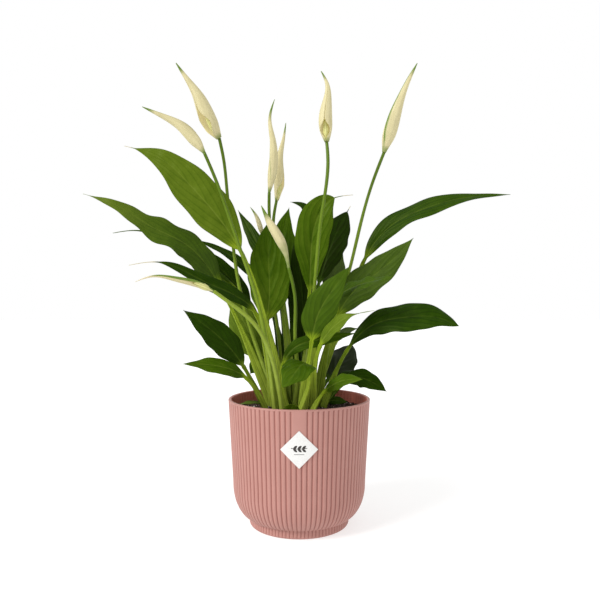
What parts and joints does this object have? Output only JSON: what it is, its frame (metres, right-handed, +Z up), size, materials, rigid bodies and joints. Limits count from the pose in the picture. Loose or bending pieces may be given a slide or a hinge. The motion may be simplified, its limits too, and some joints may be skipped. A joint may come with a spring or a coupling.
{
  "type": "potted peace lily",
  "caption": "Peace lily with arching green leaves and cream flower hoods, growing in soil in a round ribbed plastic pot with a plain diamond label.",
  "frame": {"origin": "on the ground, at the middle of the flat underside of the pot's foot", "axes": "+Z up, -Y to the front, where the label is, +X to the right seen from the front"},
  "size_m": [0.4053, 0.1907, 0.4589],
  "materials": {
    "pot_plastic": "satin moulded, fine ribs",
    "label_paper": "matt coated paper",
    "soil": "loose granules, matt",
    "root_stock": "rough, matt",
    "leaf": "smooth, slightly glossy, veined",
    "flower_stalk": "smooth, satin",
    "spathe": "thin, softly translucent, satin",
    "spadix": "knobbly, matt"
  },
  "bodies": {
    "root": {"label": "label_paper", "leaf_across_centre": "leaf", "leaf_back_curled": "leaf", "leaf_back_left": "leaf", "leaf_centre_back": "leaf", "leaf_centre_dark": "leaf", "leaf_centre_folded": "leaf", "leaf_centre_grey": "leaf", "leaf_centre_hidden": "leaf", "leaf_centre_left": "leaf", "leaf_dark_pocket": "leaf", "leaf_front_drooping": "leaf", "leaf_front_light": "leaf", "leaf_left_behind": "leaf", "leaf_left_dark": "leaf", "leaf_left_narrow": "leaf", "leaf_left_tailed": "leaf", "leaf_long_left": "leaf", "leaf_long_right": "leaf", "leaf_low_left": "leaf", "leaf_low_right": "leaf", "leaf_lowest_left": "leaf", "leaf_mid_right": "leaf", "leaf_olive_right": "leaf", "leaf_over_soil_left": "leaf", "leaf_over_soil_right": "leaf", "leaf_pale_inner": "leaf", "leaf_rim_front": "leaf", "leaf_shaded_right": "leaf", "leaf_small_back": "leaf", "leaf_small_front_right": "leaf", "leaf_small_right_back": "leaf", "leaf_small_right_low": "leaf", "leaf_upper_left": "leaf", "leaf_yellow_right": "leaf", "pot": "pot_plastic", "potting_soil": "soil", "root_crown": "root_stock", "spadix_centre_curved": "spadix", "spadix_centre_right": "spadix", "spadix_reclining": "spadix", "spadix_upper_left": "spadix", "spathe_centre_curved": "spathe", "spathe_centre_right": "spathe", "spathe_centre_tall": "spathe", "spathe_far_left": "spathe", "spathe_front_centre": "spathe", "spathe_reclining": "spathe", "spathe_small_back": "spathe", "spathe_upper_left": "spathe", "spathe_upper_right": "spathe", "stalk_centre_curved": "flower_stalk", "stalk_centre_right": "flower_stalk", "stalk_centre_tall": "flower_stalk", "stalk_far_left": "flower_stalk", "stalk_front_centre": "flower_stalk", "stalk_reclining": "flower_stalk", "stalk_small_back": "flower_stalk", "stalk_upper_left": "flower_stalk", "stalk_upper_right": "flower_stalk"}
  },
  "joints": []
}
